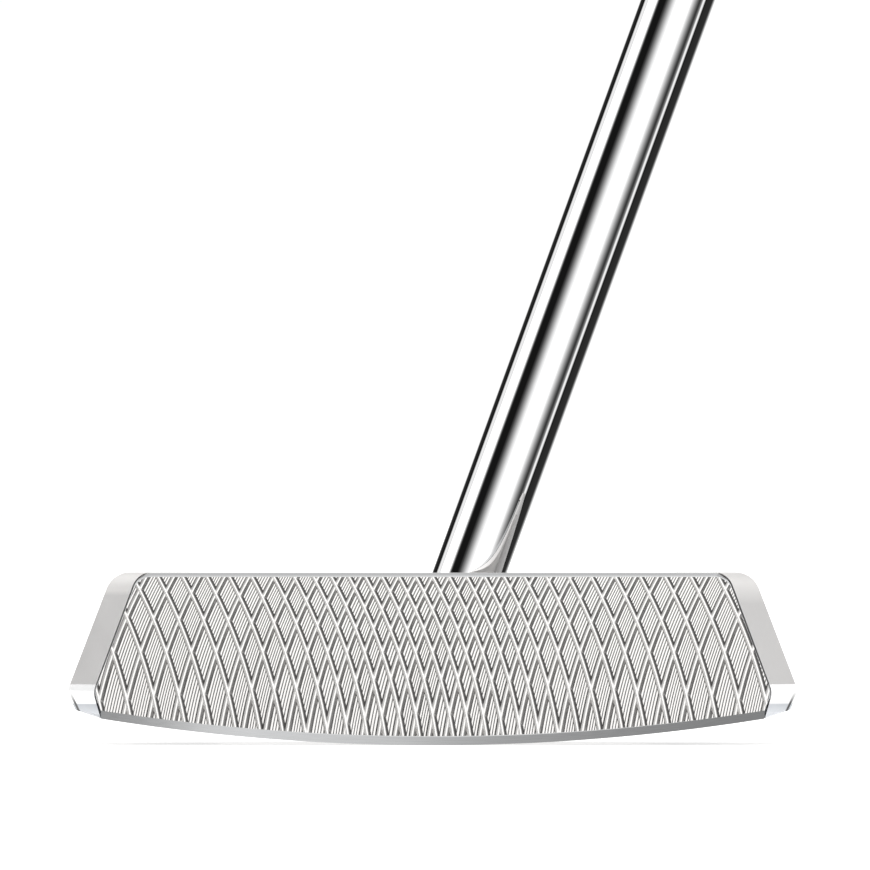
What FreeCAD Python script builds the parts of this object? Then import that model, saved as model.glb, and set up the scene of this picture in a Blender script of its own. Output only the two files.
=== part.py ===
import FreeCAD, Part
import os
import math

from FreeCAD import Vector, Placement, Rotation
import Sketcher

# Centre-shafted blade putter, right-handed, 34 in long, lie 70 degrees, loft 3 degrees.
# Frame: +Z up, ground at z = 0, +X towards the heel, the face looks to -Y.
# The shaft axis lies in the plane y = 0 and leans 20 degrees towards the heel.
# The origin is the lowest point of the sole, under the middle of the head.

os.makedirs("parts", exist_ok=True)
doc = FreeCAD.newDocument("blade_putter")

# ---------------------------------------------------------------- dimensions
sheet = doc.addObject("Spreadsheet::Sheet", "dims")
TABLE = [
    # head, outer outline seen along Y (half widths from the middle)
    ("head_top_z", 25.0), ("top_half", 46.48), ("top_corner_rad", 3.4),
    ("knee_half", 53.02), ("knee_z", 7.90), ("knee_rad", 1.2),
    ("cheek_half", 52.42), ("cheek_z", 6.35), ("cheek_rad", 0.5),
    ("heel_half", 51.85), ("heel_z", 5.12), ("heel_rad", 0.6),
    ("sole_half", 48.0), ("sole_edge_z", 3.83), ("sole_camber_rad", 302.7),
    # head, narrower outline at the very front
    ("nose_top_half", 42.75), ("nose_top_rad", 3.0),
    ("nose_knee_half", 49.05), ("nose_knee_z", 7.95), ("nose_knee_rad", 0.6),
    ("nose_cheek_half", 48.60), ("nose_cheek_z", 6.2), ("nose_cheek_rad", 0.4),
    ("nose_heel_half", 48.27), ("nose_heel_z", 4.5), ("nose_heel_rad", 0.2),
    ("nose_low_half", 48.2), ("nose_low_z", 3.90),
    # head, depths along Y
    ("nose_y", 14.2), ("flare_y", 9.0), ("flare_depth", 1.9), ("back_y", 14.0),
    ("base_front_y", 13.65), ("loft_deg", 3.0),
    ("topline_back_y", 7.0), ("flange_z", 9.5),
    ("cavity_floor_half", 31.5), ("cavity_top_half", 36.5), ("cavity_rad", 3.0),
    ("bumper_top_y", 3.0), ("bumper_back_z", 11.2),
    ("plan_corner_half", 54.6), ("plan_corner_y", 8.6), ("plan_mid_half", 22.0),
    ("plan_corner_rad", 8.0), ("plan_mid_rad", 60.0),
    # recess for the face plate and the plate itself
    ("seat_y", 9.5), ("bond_front_y", 9.8), ("seat_gap", 0.12),
    ("plate_top_half", 42.65), ("plate_flare_half", 49.12), ("plate_flare_z", 7.7),
    ("plate_low_half", 48.1), ("plate_flare_rad", 3.0), ("plate_top_rad", 3.0),
    ("plateau_rise", 0.35), ("plateau_root", 0.25),
    ("plateau_top_z", 24.43), ("plateau_top_half", 42.74), ("plateau_top_rad", 2.7),
    ("plateau_flare_half", 49.0), ("plateau_flare_z", 7.7), ("plateau_flare_rad", 2.9),
    ("plateau_low_half", 48.1), ("plateau_low_z", 5.07), ("plateau_low_rad", 312.5),
    ("lead_chamfer", 1.25), ("top_chamfer", 0.4),
    # shaft line
    ("lie_lean_deg", 20.0), ("shaft_foot_x", -3.70),
    # boss and post
    ("boss_rad", 6.2), ("boss_start", 8.0), ("boss_end", 14.5),
    ("boss_root_rad", 8.6), ("boss_root_start", 7.4), ("boss_root_end", 12.4),
    ("post_bore_rad", 4.0), ("post_start", 5.2), ("post_end", 48.0),
    ("post_upper_rad", 4.60), ("post_chamfer", 0.8), ("post_groove", 0.35),
    ("glue_inner_rad", 4.61), ("glue_outer_rad", 4.71), ("glue_start", 15.2), ("glue_end", 46.5),
    # sole weights
    ("weight_x", 37.0), ("weight_y", -0.5), ("weight_rad", 6.5), ("weight_len", 5.0),
    ("weight_recess", 0.35), ("weight_port_depth", 5.5), ("weight_edge", 0.4),
    ("spanner_offset", 3.6), ("spanner_rad", 1.1), ("spanner_depth", 2.2),
    # alignment groove on the flange
    ("sight_half", 0.8), ("sight_from_y", 7.2), ("sight_to_y", 12.4), ("sight_depth", 0.8),
    # shaft tube
    ("shaft_start", 14.55), ("shaft_end", 856.0), ("tip_rad", 5.15), ("tip_bore", 4.72),
    ("step_from", 270.0), ("step_pitch", 32.0), ("step_rise", 0.22), ("step_cone", 2.6),
    # grip
    ("grip_start", 597.6), ("grip_skin_end", 857.8), ("grip_end", 863.6),
    ("core_start", 602.0), ("core_end", 857.6), ("tape_start", 603.0), ("tape_end", 855.5),
    ("tape_inner", 7.36), ("tape_outer", 7.50), ("grip_bore", 7.52), ("grip_mouth", 7.40),
    ("skin_thick", 1.6), ("vent_rad", 1.6), ("cap_edge", 1.4), ("cap_gap", 0.05),
]
for row, (alias, number) in enumerate(TABLE, start=1):
    cell = "B%d" % row
    sheet.set("A%d" % row, "'" + alias)
    sheet.set(cell, repr(number))
    sheet.setAlias(cell, alias)
doc.recompute()


class Size:
    """A number together with the sheet formula that gives it."""

    def __init__(self, value, text):
        self.value = value
        self.text = text

    def __add__(self, other):
        other = size(other)
        return Size(self.value + other.value, "(%s + %s)" % (self.text, other.text))

    def __radd__(self, other):
        return size(other) + self

    def __sub__(self, other):
        other = size(other)
        return Size(self.value - other.value, "(%s - %s)" % (self.text, other.text))

    def __rsub__(self, other):
        return size(other) - self

    def __mul__(self, other):
        other = size(other)
        return Size(self.value * other.value, "(%s * %s)" % (self.text, other.text))

    def __rmul__(self, other):
        return size(other) * self

    def __neg__(self):
        return Size(-self.value, "(0 - %s)" % self.text)


def size(thing):
    if isinstance(thing, Size):
        return thing
    return Size(float(thing), repr(float(thing)) if thing >= 0 else "(0 - %r)" % abs(float(thing)))


def dim(alias):
    return Size(float(sheet.get(alias)), "dims." + alias)


# ------------------------------------------------------------------- helpers
def new_body(label):
    body = doc.addObject("PartDesign::Body", label)
    body.Label = label
    return body


def plane(body, role):
    for feature in body.Origin.OriginFeatures:
        if feature.Role == role:
            return feature
    raise ValueError(role)


def attach(body, sketch, role, offset=0.0, tilt=0.0, tilt_axis=Vector(1, 0, 0)):
    sketch.AttachmentSupport = (plane(body, role), [""])
    sketch.MapMode = "FlatFace"
    offset = size(offset)
    tilt = size(tilt)
    sketch.AttachmentOffset = Placement(Vector(0, 0, offset.value), Rotation(tilt_axis, tilt.value))
    if "dims." in offset.text:
        sketch.setExpression("AttachmentOffset.Base.z", offset.text)
    if "dims." in tilt.text:
        sketch.setExpression("AttachmentOffset.Rotation.Angle", tilt.text)


def bind(sketch, constraint, wanted):
    index = sketch.addConstraint(constraint)
    wanted = size(wanted)
    if "dims." in wanted.text:
        sketch.setExpression("Constraints[%d]" % index, wanted.text)
    return index


def outline(sketch, corners):
    """Closed outline. Each corner is (x, y, fillet radius or 0, radius of the arc that
    leads to the next corner or 0; a positive arc bulges to the right of the way there)."""
    count = len(corners)
    pts = [(size(c[0]), size(c[1])) for c in corners]
    rads = [size(c[2]) if len(c) > 2 else size(0) for c in corners]
    bulge = [c[3] if len(c) > 3 else 0 for c in corners]
    vec = [Vector(p[0].value, p[1].value, 0) for p in pts]
    entry, leave, fillet = [None] * count, [None] * count, [None] * count
    for i in range(count):
        if rads[i].value <= 0:
            entry[i] = leave[i] = vec[i]
            continue
        a = (vec[i - 1] - vec[i]).normalize()
        b = (vec[(i + 1) % count] - vec[i]).normalize()
        half = a.getAngle(b) / 2.0
        reach = rads[i].value / math.tan(half)
        entry[i] = vec[i] + a * reach
        leave[i] = vec[i] + b * reach
        centre = vec[i] + (a + b).normalize() * (rads[i].value / math.sin(half))
        mid = centre + (vec[i] - centre).normalize() * rads[i].value
        fillet[i] = Part.Arc(entry[i], mid, leave[i])
    edges = [None] * count
    for i in range(count):
        j = (i + 1) % count
        if bulge[i]:
            radius = size(bulge[i])
            chord = entry[j] - leave[i]
            right = Vector(chord.y, -chord.x, 0).normalize()
            sag = abs(radius.value) - math.sqrt(radius.value ** 2 - (chord.Length / 2) ** 2)
            side = 1.0 if radius.value > 0 else -1.0
            mid = (leave[i] + entry[j]) * 0.5 + right * (side * sag)
            edges[i] = sketch.addGeometry(Part.Arc(leave[i], mid, entry[j]), False)
        else:
            edges[i] = sketch.addGeometry(Part.LineSegment(leave[i], entry[j]), False)

    def end_of(index, at):
        """Which end (1 or 2) of a sketch edge lies at a point."""
        one = sketch.getPoint(index, 1)
        two = sketch.getPoint(index, 2)
        return 1 if (one - at).Length < (two - at).Length else 2

    for i in range(count):
        before = edges[i - 1]
        after = edges[i]
        if rads[i].value <= 0:
            sketch.addConstraint(Sketcher.Constraint(
                "Coincident", before, end_of(before, vec[i]), after, end_of(after, vec[i])))
            point = (after, end_of(after, vec[i]))
        else:
            arc = sketch.addGeometry(fillet[i], False)
            sketch.addConstraint(Sketcher.Constraint(
                "Tangent", before, end_of(before, entry[i]), arc, end_of(arc, entry[i])))
            sketch.addConstraint(Sketcher.Constraint(
                "Tangent", arc, end_of(arc, leave[i]), after, end_of(after, leave[i])))
            bind(sketch, Sketcher.Constraint("Radius", arc, rads[i].value), rads[i])
            corner = sketch.addGeometry(Part.Point(vec[i]), True)
            sketch.addConstraint(Sketcher.Constraint("PointOnObject", corner, 1, before))
            sketch.addConstraint(Sketcher.Constraint("PointOnObject", corner, 1, after))
            point = (corner, 1)
        for kind, value in (("DistanceX", pts[i][0]), ("DistanceY", pts[i][1])):
            if abs(value.value) < 1e-9:
                other = -2 if kind == "DistanceX" else -1
                sketch.addConstraint(Sketcher.Constraint("PointOnObject", point[0], point[1], other))
            else:
                bind(sketch, Sketcher.Constraint(kind, -1, 1, point[0], point[1], value.value), value)
        if bulge[i]:
            radius = size(bulge[i])
            text = Size(abs(radius.value), radius.text if radius.value > 0 else "(0 - %s)" % radius.text)
            bind(sketch, Sketcher.Constraint("Radius", edges[i], abs(radius.value)), text)


def circle(sketch, x, y, radius):
    x, y, radius = size(x), size(y), size(radius)
    index = sketch.addGeometry(Part.Circle(Vector(x.value, y.value, 0), Vector(0, 0, 1), radius.value), False)
    bind(sketch, Sketcher.Constraint("Radius", index, radius.value), radius)
    for kind, value in (("DistanceX", x), ("DistanceY", y)):
        if abs(value.value) < 1e-9:
            other = -2 if kind == "DistanceX" else -1
            sketch.addConstraint(Sketcher.Constraint("PointOnObject", index, 3, other))
        else:
            bind(sketch, Sketcher.Constraint(kind, -1, 1, index, 3, value.value), value)


def new_sketch(body, name, role, offset=0.0, tilt=0.0, tilt_axis=Vector(1, 0, 0)):
    sketch = body.newObject("Sketcher::SketchObject", name)
    attach(body, sketch, role, offset, tilt, tilt_axis)
    return sketch


def pad(body, name, sketch, length, backwards=False):
    feature = body.newObject("PartDesign::Pad", name)
    feature.Profile = sketch
    length = size(length)
    feature.Length = length.value
    if "dims." in length.text:
        feature.setExpression("Length", length.text)
    feature.Reversed = backwards
    sketch.Visibility = False
    return feature


def pocket(body, name, sketch, length=None, backwards=False, both=False):
    feature = body.newObject("PartDesign::Pocket", name)
    feature.Profile = sketch
    if length is None:
        feature.Type = "ThroughAll"
    else:
        length = size(length)
        feature.Length = length.value
        if "dims." in length.text:
            feature.setExpression("Length", length.text)
    feature.Reversed = backwards
    if both:
        feature.Midplane = True
    return feature


def spin(body, name, sketch, axis=("V_Axis")):
    feature = body.newObject("PartDesign::Revolution", name)
    feature.Profile = sketch
    feature.ReferenceAxis = (sketch, [axis])
    feature.Angle = 360.0
    return feature


def cylinder(body, kind, name, radius, height, base, rotation):
    feature = body.newObject("PartDesign::%sCylinder" % kind, name)
    radius, height = size(radius), size(height)
    feature.Radius = radius.value
    feature.setExpression("Radius", radius.text)
    feature.Height = height.value
    feature.setExpression("Height", height.text)
    feature.Placement = Placement(Vector(*[size(b).value for b in base]), rotation)
    for axis, b in zip("xyz", base):
        b = size(b)
        if "dims." in b.text:
            feature.setExpression("Placement.Base." + axis, b.text)
    return feature


def edges_of(feature, test):
    found = []
    for number, edge in enumerate(feature.Shape.Edges, start=1):
        box = edge.BoundBox
        if test(edge, box):
            found.append("Edge%d" % number)
    return found


def round_edges(body, name, base, names, radius):
    feature = body.newObject("PartDesign::Fillet", name)
    feature.Base = (base, names)
    feature.Radius = size(radius).value
    if "dims." in size(radius).text:
        feature.setExpression("Radius", size(radius).text)
    return feature


def bevel_edges(body, name, base, names, length):
    feature = body.newObject("PartDesign::Chamfer", name)
    feature.Base = (base, names)
    feature.Size = size(length).value
    if "dims." in size(length).text:
        feature.setExpression("Size", size(length).text)
    return feature


def checked(feature, grows=None, before=None):
    """Stops the build if a feature failed or cut or added nothing."""
    doc.recompute()
    if "Invalid" in feature.State or "Error" in feature.State or feature.Shape.isNull():
        raise RuntimeError("%s failed: %s" % (feature.Name, feature.State))
    if before is not None:
        change = feature.Shape.Volume - before
        print("%-22s volume %10.2f  change %+9.2f" % (feature.Name, feature.Shape.Volume, change))
        if grows is True and change <= 1e-3:
            raise RuntimeError(feature.Name + " added nothing")
        if grows is False and change >= -1e-3:
            raise RuntimeError(feature.Name + " cut nothing")
    return feature.Shape.Volume


LEAN = Rotation(Vector(0, 1, 0), 20.0)


def along_shaft(obj):
    """Moves a piece modelled on the Z axis onto the leaning shaft axis."""
    obj.Placement = Placement(Vector(dim("shaft_foot_x").value, 0, 0),
                              Rotation(Vector(0, 1, 0), dim("lie_lean_deg").value))
    obj.setExpression("Placement.Base.x", "dims.shaft_foot_x")
    obj.setExpression("Placement.Rotation.Angle", "dims.lie_lean_deg")


def on_axis(distance):
    """Point of the shaft axis at a distance from the ground, as sheet formulas."""
    distance = size(distance)
    foot = dim("shaft_foot_x")
    lean = dim("lie_lean_deg")
    sx = Size(foot.value + distance.value * math.sin(math.radians(lean.value)),
              "(%s + %s * sin(%s * 1 deg))" % (foot.text, distance.text, lean.text))
    sz = Size(distance.value * math.cos(math.radians(lean.value)),
              "(%s * cos(%s * 1 deg))" % (distance.text, lean.text))
    return (sx, 0.0, sz)


pieces = []

# ------------------------------------------------------------------ head body
head = new_body("head_body")


def head_outline(sketch):
    outline(sketch, [
        (dim("sole_half"), dim("sole_edge_z")),
        (dim("heel_half"), dim("heel_z"), dim("heel_rad")),
        (dim("cheek_half"), dim("cheek_z"), dim("cheek_rad")),
        (dim("knee_half"), dim("knee_z"), dim("knee_rad")),
        (dim("top_half"), dim("head_top_z"), dim("top_corner_rad")),
        (-dim("top_half"), dim("head_top_z"), dim("top_corner_rad")),
        (-dim("knee_half"), dim("knee_z"), dim("knee_rad")),
        (-dim("cheek_half"), dim("cheek_z"), dim("cheek_rad")),
        (-dim("heel_half"), dim("heel_z"), dim("heel_rad")),
        (-dim("sole_half"), dim("sole_edge_z"), 0, dim("sole_camber_rad")),
    ])


# the narrow outline at the very front lies in the lofted plane of the face
nose = new_sketch(head, "nose_outline", "XZ_Plane", dim("base_front_y"), -dim("loft_deg"))
outline(nose, [
    (dim("nose_low_half"), dim("nose_low_z")),
    (dim("nose_heel_half"), dim("nose_heel_z"), dim("nose_heel_rad")),
    (dim("nose_cheek_half"), dim("nose_cheek_z"), dim("nose_cheek_rad")),
    (dim("nose_knee_half"), dim("nose_knee_z"), dim("nose_knee_rad")),
    (dim("nose_top_half"), dim("head_top_z"), dim("nose_top_rad")),
    (-dim("nose_top_half"), dim("head_top_z"), dim("nose_top_rad")),
    (-dim("nose_knee_half"), dim("nose_knee_z"), dim("nose_knee_rad")),
    (-dim("nose_cheek_half"), dim("nose_cheek_z"), dim("nose_cheek_rad")),
    (-dim("nose_heel_half"), dim("nose_heel_z"), dim("nose_heel_rad")),
    (-dim("nose_low_half"), dim("nose_low_z"), 0, dim("sole_camber_rad")),
])
wide = new_sketch(head, "wide_outline", "XZ_Plane", dim("base_front_y") - dim("flare_depth"), -dim("loft_deg"))
head_outline(wide)
full = new_sketch(head, "full_outline", "XZ_Plane", dim("flare_y"))
head_outline(full)
flare = head.newObject("PartDesign::AdditiveLoft", "nose_flare")
flare.Profile = nose
flare.Sections = [wide, full]
flare.Ruled = True
vol = checked(flare)
print("nose_flare volume", vol)

block_sketch = new_sketch(head, "block_outline", "XZ_Plane", dim("flare_y"))
head_outline(block_sketch)
block = pad(head, "block", block_sketch, dim("flare_y") + dim("back_y"), backwards=True)
vol = checked(block, True, vol)

# the open back: cavity over the flange, between toe and heel bumpers
cav_sketch = new_sketch(head, "cavity_outline", "XZ_Plane", dim("topline_back_y"))
outline(cav_sketch, [
    (-dim("cavity_floor_half"), dim("flange_z"), dim("cavity_rad")),
    (dim("cavity_floor_half"), dim("flange_z"), dim("cavity_rad")),
    (dim("cavity_top_half"), dim("head_top_z") + 5.0),
    (-dim("cavity_top_half"), dim("head_top_z") + 5.0),
])
cavity = pocket(head, "cavity", cav_sketch, dim("topline_back_y") + dim("back_y") + 5.0)
vol = checked(cavity, False, vol)

# the bumpers fall away to the back
slope_sketch = new_sketch(head, "slope_outline", "YZ_Plane")
outline(slope_sketch, [
    (-dim("bumper_top_y"), dim("head_top_z")),
    (dim("back_y") + 2.0, dim("bumper_back_z")),
    (dim("back_y") + 2.0, dim("head_top_z") + 5.0),
    (-dim("bumper_top_y"), dim("head_top_z") + 5.0),
])
slope = pocket(head, "bumper_slope", slope_sketch, both=True)
vol = checked(slope, False, vol)

# plan shape of the back
plan_sketch = new_sketch(head, "plan_outline", "XY_Plane", -5.0)
outline(plan_sketch, [
    (dim("plan_corner_half"), -(dim("nose_y") + 6.0)),
    (dim("plan_corner_half"), dim("plan_corner_y"), dim("plan_corner_rad")),
    (dim("plan_mid_half"), dim("back_y"), dim("plan_mid_rad")),
    (-dim("plan_mid_half"), dim("back_y"), dim("plan_mid_rad")),
    (-dim("plan_corner_half"), dim("plan_corner_y"), dim("plan_corner_rad")),
    (-dim("plan_corner_half"), -(dim("nose_y") + 6.0)),
])
outline(plan_sketch, [
    (dim("plan_corner_half") + 10.0, -(dim("nose_y") + 12.0)),
    (dim("plan_corner_half") + 10.0, dim("back_y") + 12.0),
    (-(dim("plan_corner_half") + 10.0), dim("back_y") + 12.0),
    (-(dim("plan_corner_half") + 10.0), -(dim("nose_y") + 12.0)),
])
plan = pocket(head, "plan_shape", plan_sketch, dim("head_top_z") + 10.0, backwards=True)
vol = checked(plan, False, vol)

rise = math.tan(math.radians(dim("loft_deg").value))
loft_tan = Size(rise, "tan(dims.loft_deg * 1 deg)")

# seat of the face plate, open at the top and at the sole
seat_sketch = new_sketch(head, "seat_outline", "XZ_Plane", dim("seat_y"))
outline(seat_sketch, [
    (-(dim("plate_low_half") + dim("seat_gap")), -4.0),
    (dim("plate_low_half") + dim("seat_gap"), -4.0),
    (dim("plate_low_half") + dim("seat_gap"), 4.2),
    (dim("plate_flare_half") + dim("seat_gap"), dim("plate_flare_z"), dim("plate_flare_rad")),
    (dim("plate_top_half") + dim("seat_gap"), dim("head_top_z") + dim("seat_gap"), dim("plate_top_rad")),
    (-(dim("plate_top_half") + dim("seat_gap")), dim("head_top_z") + dim("seat_gap"), dim("plate_top_rad")),
    (-(dim("plate_flare_half") + dim("seat_gap")), dim("plate_flare_z"), dim("plate_flare_rad")),
    (-(dim("plate_low_half") + dim("seat_gap")), 4.2),
])
seat = pocket(head, "plate_seat", seat_sketch, dim("nose_y") - dim("seat_y") + 6.0, backwards=True)
vol = checked(seat, False, vol)

# boss that carries the shaft
boss = cylinder(head, "Additive", "boss", dim("boss_rad"), dim("boss_end") - dim("boss_start"),
                on_axis(dim("boss_start")), LEAN)
boss.setExpression("Placement.Rotation.Angle", "dims.lie_lean_deg")
vol = checked(boss, True, vol)
root = head.newObject("PartDesign::AdditiveCone", "boss_root")
root.Radius1 = dim("boss_root_rad").value
root.setExpression("Radius1", "dims.boss_root_rad")
root.Radius2 = dim("boss_rad").value
root.setExpression("Radius2", "dims.boss_rad")
root.Height = (dim("boss_root_end") - dim("boss_root_start")).value
root.setExpression("Height", (dim("boss_root_end") - dim("boss_root_start")).text)
root_base = on_axis(dim("boss_root_start"))
root.Placement = Placement(Vector(root_base[0].value, 0, root_base[2].value), LEAN)
root.setExpression("Placement.Base.x", root_base[0].text)
root.setExpression("Placement.Base.z", root_base[2].text)
root.setExpression("Placement.Rotation.Angle", "dims.lie_lean_deg")
vol = checked(root, True, vol)

bore = cylinder(head, "Subtractive", "post_bore", dim("post_bore_rad"),
                dim("boss_end") - dim("post_start") + 3.0, on_axis(dim("post_start")), LEAN)
bore.setExpression("Placement.Rotation.Angle", "dims.lie_lean_deg")
vol = checked(bore, False, vol)

# threaded weight ports in the sole, square to the cambered sole
camber = dim("sole_camber_rad")
lean_w = math.degrees(math.asin(dim("weight_x").value / camber.value))
ports = {}
for side, name in ((-1.0, "toe"), (1.0, "heel")):
    sin_w = dim("weight_x").value / camber.value
    cos_w = math.sqrt(1 - sin_w ** 2)
    foot = Vector(side * dim("weight_x").value, dim("weight_y").value, camber.value - camber.value * cos_w)
    inward = Vector(-side * sin_w, 0, cos_w)
    start = foot - inward * 3.0
    port = cylinder(head, "Subtractive", name + "_port", dim("weight_rad"),
                    dim("weight_port_depth") + 3.0, (0, 0, 0), Rotation())
    port.Placement = Placement(start, Rotation(Vector(0, 1, 0), -side * lean_w))
    vol = checked(port, False, vol)
    ports[name] = (foot, inward, side)

# alignment groove on the flange
groove_sketch = new_sketch(head, "groove_outline", "XY_Plane", dim("flange_z"))
outline(groove_sketch, [
    (-dim("sight_half"), dim("sight_from_y")),
    (dim("sight_half"), dim("sight_from_y")),
    (dim("sight_half"), dim("sight_to_y")),
    (-dim("sight_half"), dim("sight_to_y")),
])
groove = pocket(head, "sight_groove", groove_sketch, dim("sight_depth"))
vol = checked(groove, False, vol)
pieces.append(head)

# ----------------------------------------------------------------- face plate
plate = new_body("face_plate")


def plate_outline(sketch):
    outline(sketch, [
        (dim("plate_low_half"), 3.846),
        (dim("plate_flare_half"), dim("plate_flare_z"), dim("plate_flare_rad")),
        (dim("plate_top_half"), dim("head_top_z"), dim("plate_top_rad")),
        (-dim("plate_top_half"), dim("head_top_z"), dim("plate_top_rad")),
        (-dim("plate_flare_half"), dim("plate_flare_z"), dim("plate_flare_rad")),
        (-dim("plate_low_half"), 3.846, 0, dim("sole_camber_rad")),
    ])


plate_sketch = new_sketch(plate, "plate_outline", "XZ_Plane", dim("bond_front_y"))
plate_outline(plate_sketch)
slab = pad(plate, "slab", plate_sketch, dim("nose_y") - dim("bond_front_y") + 1.0)
vol = checked(slab)
plate_loft = new_sketch(plate, "plate_loft_outline", "YZ_Plane")
broken_z = dim("head_top_z") - dim("top_chamfer")
outline(plate_loft, [
    (-(dim("base_front_y") + 5.0 * loft_tan), -5.0),
    (-(dim("base_front_y") - 24.6 * loft_tan), broken_z),
    (-(dim("base_front_y") - 24.6 * loft_tan) + (30.0 - broken_z), 30.0),
    (-(dim("nose_y") + 8.0), 30.0),
    (-(dim("nose_y") + 8.0), -5.0),
])
plate_cut = pocket(plate, "plate_loft_cut", plate_loft, both=True)
vol = checked(plate_cut, False, vol)

front_low = edges_of(plate_cut, lambda e, b: b.YMin < -13.0 and b.ZMax < 4.2 and b.XLength > 80.0)
print("leading edge", front_low)
lead = bevel_edges(plate, "leading_edge", plate_cut, front_low, dim("lead_chamfer"))
vol = checked(lead, False, vol)
# raised striking area
raise_sketch = new_sketch(plate, "plateau_outline", "XZ_Plane",
                          dim("base_front_y") - dim("plateau_root"), -dim("loft_deg"))
outline(raise_sketch, [
    (dim("plateau_low_half"), dim("plateau_low_z")),
    (dim("plateau_flare_half"), dim("plateau_flare_z"), dim("plateau_flare_rad")),
    (dim("plateau_top_half"), dim("plateau_top_z"), dim("plateau_top_rad")),
    (-dim("plateau_top_half"), dim("plateau_top_z"), dim("plateau_top_rad")),
    (-dim("plateau_flare_half"), dim("plateau_flare_z"), dim("plateau_flare_rad")),
    (-dim("plateau_low_half"), dim("plateau_low_z"), 0, dim("plateau_low_rad")),
])
plateau = pad(plate, "plateau", raise_sketch, dim("plateau_rise") + dim("plateau_root"))
vol = checked(plateau, True, vol)
pieces.append(plate)

# ------------------------------------------------------------ bond behind it
bond = new_body("face_bond")
bond_sketch = new_sketch(bond, "bond_outline", "XZ_Plane", dim("seat_y"))
outline(bond_sketch, [
    (dim("plate_low_half") - 0.4, 4.4),
    (dim("plate_flare_half") - 0.5, dim("plate_flare_z"), dim("plate_flare_rad")),
    (dim("plate_top_half") - 0.3, dim("head_top_z") - 0.4, dim("plate_top_rad")),
    (-(dim("plate_top_half") - 0.3), dim("head_top_z") - 0.4, dim("plate_top_rad")),
    (-(dim("plate_flare_half") - 0.5), dim("plate_flare_z"), dim("plate_flare_rad")),
    (-(dim("plate_low_half") - 0.4), 4.4, 0, dim("sole_camber_rad")),
])
pad(bond, "bond_layer", bond_sketch, dim("bond_front_y") - dim("seat_y"))
pieces.append(bond)

# ---------------------------------------------------------------- hosel post
post = new_body("hosel_post")
post_sketch = new_sketch(post, "post_section", "XZ_Plane")
outline(post_sketch, [
    (0, dim("post_start")),
    (dim("post_bore_rad") - 0.6, dim("post_start")),
    (dim("post_bore_rad"), dim("post_start") + 0.6),
    (dim("post_bore_rad"), dim("boss_end") - 1.2),
    (dim("post_bore_rad") - dim("post_groove"), dim("boss_end") - 0.9),
    (dim("post_bore_rad") - dim("post_groove"), dim("boss_end") - 0.3),
    (dim("post_bore_rad"), dim("boss_end") + 0.0),
    (dim("post_upper_rad"), dim("boss_end") + 0.5),
    (dim("post_upper_rad"), dim("post_end") - dim("post_chamfer")),
    (dim("post_upper_rad") - dim("post_chamfer"), dim("post_end")),
    (0, dim("post_end")),
])
spin(post, "post_turned", post_sketch)
along_shaft(post)
pieces.append(post)

# ------------------------------------------------- glue between post and shaft
glue = new_body("shaft_epoxy")
glue_sketch = new_sketch(glue, "glue_section", "XZ_Plane")
outline(glue_sketch, [
    (dim("glue_inner_rad"), dim("glue_start")),
    (dim("glue_outer_rad"), dim("glue_start")),
    (dim("glue_outer_rad"), dim("glue_end")),
    (dim("glue_inner_rad"), dim("glue_end")),
])
spin(glue, "glue_sleeve", glue_sketch)
along_shaft(glue)
pieces.append(glue)

# ---------------------------------------------------------------- sole weights
for name in ("toe", "heel"):
    foot, inward, side = ports[name]
    weight = new_body(name + "_sole_weight")
    disc_sketch = new_sketch(weight, name + "_disc_section", "XZ_Plane")
    outline(disc_sketch, [
        (0, dim("weight_recess")),
        (dim("weight_rad") - 0.08 - dim("weight_edge"), dim("weight_recess")),
        (dim("weight_rad") - 0.08, dim("weight_recess") + dim("weight_edge")),
        (dim("weight_rad") - 0.08, dim("weight_recess") + dim("weight_len") - dim("weight_edge")),
        (dim("weight_rad") - 0.08 - dim("weight_edge"), dim("weight_recess") + dim("weight_len")),
        (0, dim("weight_recess") + dim("weight_len")),
    ])
    disc = spin(weight, name + "_disc", disc_sketch)
    vol = checked(disc)
    hole_sketch = new_sketch(weight, name + "_spanner_holes", "XY_Plane", dim("weight_recess") - 1.0)
    circle(hole_sketch, dim("spanner_offset"), 0, dim("spanner_rad"))
    circle(hole_sketch, -dim("spanner_offset"), 0, dim("spanner_rad"))
    holes = pocket(weight, name + "_spanner", hole_sketch, dim("spanner_depth") + 1.0, backwards=True)
    vol = checked(holes, False, vol)
    weight.Placement = Placement(foot, Rotation(Vector(0, 1, 0), -side * lean_w))
    pieces.append(weight)

# ------------------------------------------------------- paint in the groove
fill = doc.addObject("Part::Box", "sight_line_fill")
fill.Label = "sight_line_fill"
for prop, formula in (("Length", dim("sight_half") * 2.0 - 0.02),
                      ("Width", dim("sight_to_y") - dim("sight_from_y") - 0.02),
                      ("Height", dim("sight_depth") - 0.25)):
    fill.setExpression(prop, formula.text)
fill.Placement = Placement(Vector(-dim("sight_half").value + 0.01, dim("sight_from_y").value + 0.01,
                                  dim("flange_z").value - dim("sight_depth").value), Rotation())
fill.setExpression("Placement.Base.x", (0.01 - dim("sight_half")).text)
fill.setExpression("Placement.Base.y", (dim("sight_from_y") + 0.01).text)
fill.setExpression("Placement.Base.z", (dim("flange_z") - dim("sight_depth")).text)
pieces.append(fill)

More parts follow.
